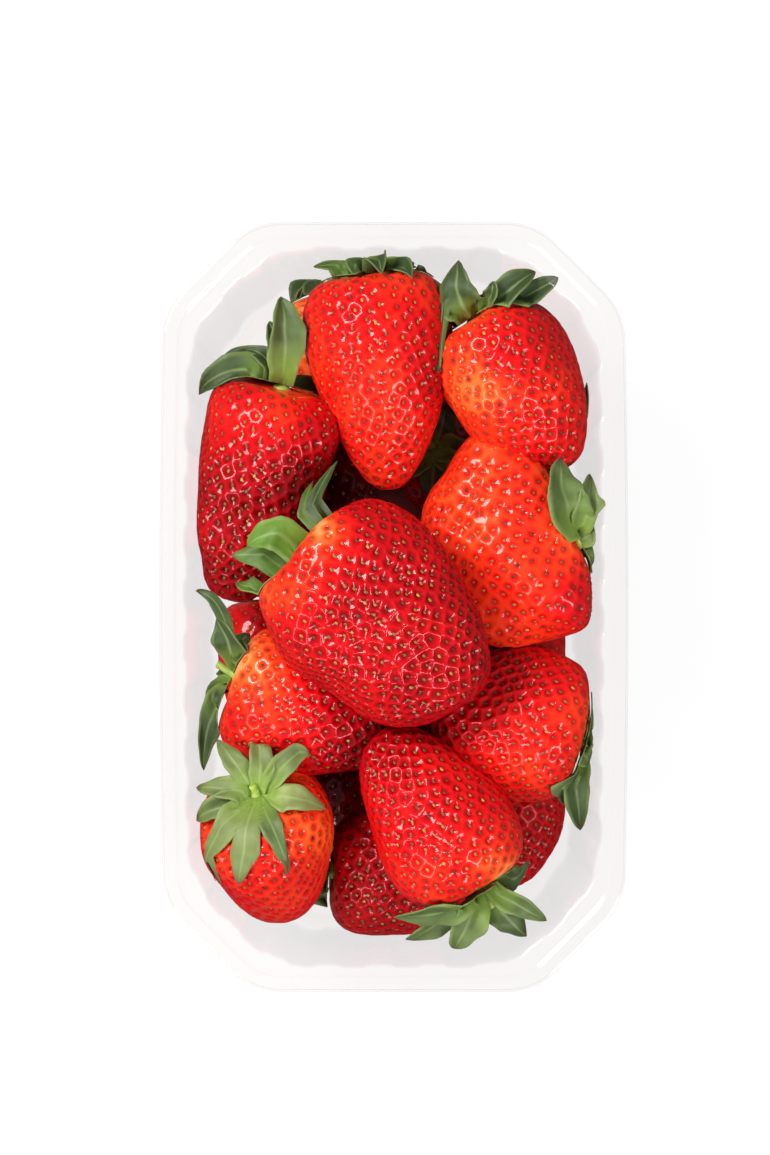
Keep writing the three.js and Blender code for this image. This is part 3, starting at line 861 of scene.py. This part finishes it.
def usualLeaves(berry, centre, random, count, missing):
    # sepals all round a calyx, bent back over the berry's shoulder
    along, side, up = berry["axes"]
    made = []
    for number in range(count):
        angle = math.tau * (number + random.uniform(-0.2, 0.2)) / count
        out = math.cos(angle) * side + math.sin(angle) * up
        if missing and out[2] > -0.25:
            continue
        reach = random.uniform(10, 13) * min(berry["size"][1], 38) / 34
        tip = centre + out * reach + along * random.uniform(-3, 2)
        via = centre + out * reach * 0.55 - along * random.uniform(2, 3.5)
        made.append((tip, via, random.uniform(5.5, 7.5), centre))
    return made


def makeSepals(material):
    random = np.random.default_rng(4)
    parts = {"points": [], "faces": [], "along": [], "across": [], "tint": [], "dry": []}
    start = 0
    for berry in berries:
        along = berry["axes"][0]
        berry["calyx"] = np.array(berry["at"]) - along * berry["size"][0] * (0.5 - berry["notch"])
        chosen = calyxes.get(berry["name"], {"tint": random.uniform(0.2, 0.7), "leaves": []})
        centre = np.array(chosen.get("base", berry["calyx"]), float)
        placed = [(np.array(tip, float), np.array(via, float), width,
                   np.array(foot[0] if foot else centre, float))
                  for tip, via, width, *foot in chosen["leaves"]]
        extra = [] if chosen.get("whole") else usualLeaves(berry, centre, random, 9, bool(placed))
        fine = [(row, leaf["rows"], leaf["columns"]) for row in placed]
        fine += [(row, leaf["rows"] // 2 + 1, leaf["columns"] // 2 + 1) for row in extra]
        for (tip, via, width, foot), rows, columns in fine:
            lead = via - foot
            base = foot + lead / np.linalg.norm(lead) * 1.6
            outward = np.array([0, 0, 1.0]) - along * (0.25 if rows == leaf["rows"] else 0.9)
            wide = width * leaf["widen"]
            sheet, quads, t, v = leafSheet(base, via, tip, wide, outward, random, rows, columns)
            parts["points"].append(keepInTray(clearOfBerries(sheet), tray["leafGap"]))
            parts["faces"].append(quads + start)
            parts["along"].append(t)
            parts["across"].append(v)
            parts["tint"].append(np.full(len(t), chosen["tint"] + random.normal(0, 0.08)))
            parts["dry"].append(np.full(len(t), random.uniform(0, 1)))
            start += len(sheet)
    joined = {key: np.concatenate(value) for key, value in parts.items()}
    piece = meshPiece("sepals", joined["points"], joined["faces"], material,
                      {key: joined[key] for key in ("along", "across", "tint", "dry")})
    solid = piece.modifiers.new("blade", "SOLIDIFY")
    solid.thickness = leaf["thickness"] * mm
    solid.offset = 0
    keepResult(piece)
    return piece


def sepalMaterial():
    # fresh sepals: matt downy leaf, yellow-green at the foot, some dry and brown at the tip
    material, tree = newMaterial("fresh sepal leaf")
    along = attribute(tree, "along")
    spine = maths(tree, "ABSOLUTE", attribute(tree, "across"))
    body = addNode(tree, "ShaderNodeValToRGB", {"Fac": attribute(tree, "tint")})
    setRamp(body, [(0.0, "#6B9626"), (0.25, "#35501A"), (0.5, "#425B28"), (0.75, "#6C8446"),
                   (1.0, "#98A562")])
    mottled = addNode(tree, "ShaderNodeMix", {
        "Factor": noise(tree, Scale=260.0, Detail=3.0), "A": body.outputs["Color"]},
        data_type="RGBA", blend_type="OVERLAY")
    mottled.inputs["B"].default_value = hexColor("#7C7C64")
    foot = fadeBetween(tree, along, 0.0, 0.5, 0.75, 0.0)
    rib = fadeBetween(tree, spine, 0.0, 0.14, 0.35, 0.0)
    margin = fadeBetween(tree, spine, 0.72, 1.0, 0.0, 0.28)
    end = fadeBetween(tree, along, 0.86, 1.0, 0.0, 1.0)
    young = paintOver(tree, foot, mottled.outputs["Result"], "#8FB23C")
    ribbed = paintOver(tree, rib, young, "#A9C07A")
    edged = paintOver(tree, margin, ribbed, "#A3B36C")
    tipped = paintOver(tree, maths(tree, "MULTIPLY", end, attribute(tree, "dry")), edged, "#5A4426")
    bump = addNode(tree, "ShaderNodeBump", {
        "Height": noise(tree, Scale=700.0, Detail=2.0), "Strength": 0.25, "Distance": 0.0003})
    shader = addNode(tree, "ShaderNodeBsdfPrincipled", {
        "Base Color": tipped, "Roughness": 0.55, "Sheen Weight": 0.08,
        "Sheen Roughness": 0.5, "Normal": bump.outputs["Normal"]})
    thin = addNode(tree, "ShaderNodeBsdfTranslucent", {"Color": tipped})
    both = addNode(tree, "ShaderNodeMixShader", {
        0: 0.15, 1: shader.outputs["BSDF"], 2: thin.outputs["BSDF"]})
    finishMaterial(tree, both.outputs["Shader"])
    return material


sepals = makeSepals(sepalMaterial())
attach(sepals, "root")
print("sepals", len(sepals.data.polygons))

# the calyx's hub and the cut stub of the stalk
stem = {"hubRadius": 2.6, "stubRadius": 1.0, "stubLength": 4.0, "sides": 14}


def stemMaterial():
    # cut fruit stalk: juicy pale green, drier where it was pinched off
    material, tree = newMaterial("cut fruit stalk")
    color = addNode(tree, "ShaderNodeValToRGB", {"Fac": noise(tree, Scale=500.0, Detail=2.0)})
    setRamp(color, [(0.3, "#7FA038"), (0.6, "#A8BD55"), (0.8, "#B9B070")])
    shader = addNode(tree, "ShaderNodeBsdfPrincipled", {
        "Base Color": color.outputs["Color"], "Roughness": 0.5, "Subsurface Weight": 0.1,
        "Subsurface Scale": 0.001})
    finishMaterial(tree, shader.outputs["BSDF"])
    return material


def makeStems(material):
    random = np.random.default_rng(9)
    points, faces = [], []
    count = stem["sides"]
    angle = np.arange(count) / count * math.tau
    for berry in berries:
        along, side, up = berry["axes"]
        centre = np.array(calyxes.get(berry["name"], {}).get("base", berry["calyx"]), float)
        lean = side * random.uniform(-0.5, 0.5) + up * random.uniform(-0.3, 0.5)
        length = stem["stubLength"] * random.uniform(0.4, 1.3)
        hub, stub = stem["hubRadius"], stem["stubRadius"]
        profile = [(-1.2, hub), (0.0, hub * 0.97), (0.5, hub * 0.75), (0.9, stub * 1.4), (1.6, stub * 1.05),
                   (1.6 + length * 0.5, stub * 0.9), (1.5 + length, stub), (1.7 + length, stub * 0.8)]
        start = sum(len(p) for p in points)
        for out, radius in profile:
            ring = np.cos(angle)[:, None] * side + np.sin(angle)[:, None] * up
            shift = -along * out + lean * max(out - 1, 0) ** 1.3 * 0.35
            points.append(keepInTray(centre + shift + ring * radius, tray["stubGap"]))
        index = np.arange(len(profile) * count).reshape(-1, count) + start
        ahead = np.roll(index, -1, axis=1)
        faces += np.stack([index[:-1], index[1:], ahead[1:], ahead[:-1]], -1).reshape(-1, 4).tolist()
        faces += [index[-1][::-1].tolist(), index[0].tolist()]
    return meshPiece("stems", np.concatenate(points), faces, material)


stems = makeStems(stemMaterial())
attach(stems, "root")
print("stems", len(stems.data.polygons))

# the core, out of sight below the berries
core = {"halfX": 22, "halfY": 58, "low": 4, "high": 32, "cells": 20, "lumps": 2.0}


def coreMaterial():
    # berry skin deep in the shade of the heap: all but black, with a dull damp gloss
    material, tree = newMaterial("shaded berry skin")
    place = addNode(tree, "ShaderNodeTexCoord")
    cells = addNode(tree, "ShaderNodeTexVoronoi", {
        "Vector": place.outputs["Object"], "Scale": 300.0})  # one cell for each seed, 3.3 mm apart
    color = addNode(tree, "ShaderNodeValToRGB", {"Fac": cells.outputs["Distance"]})
    setRamp(color, [(0.1, "#2A0406"), (0.6, "#56080C")])
    shader = addNode(tree, "ShaderNodeBsdfPrincipled", {
        "Base Color": color.outputs["Color"], "Roughness": 0.55, "IOR": 1.35})
    finishMaterial(tree, shader.outputs["BSDF"])
    return material


def makeCore():
    # a dark lumpy mound that fills the middle of the heap
    ball, faces = cubeSphere(core["cells"])
    squared = np.sign(ball) * np.abs(ball) ** 0.7
    points = squared * [core["halfX"], core["halfY"], (core["high"] - core["low"]) / 2]
    points[:, 2] += (core["high"] + core["low"]) / 2
    lumps = sum(np.sin(points[:, a] / 4.1 + points[:, b] / 5.3 + a) for a, b in ((0, 1), (1, 2), (2, 0)))
    points += ball * lumps[:, None] * core["lumps"] / 3
    return meshPiece("core", points, faces, coreMaterial())


mound = makeCore()
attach(mound, "root")
for name in [berry["name"] for berry in berries] + ["seeds", "sepals", "stems", "core"]:
    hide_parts("strawberry_heap")
print("core ready")
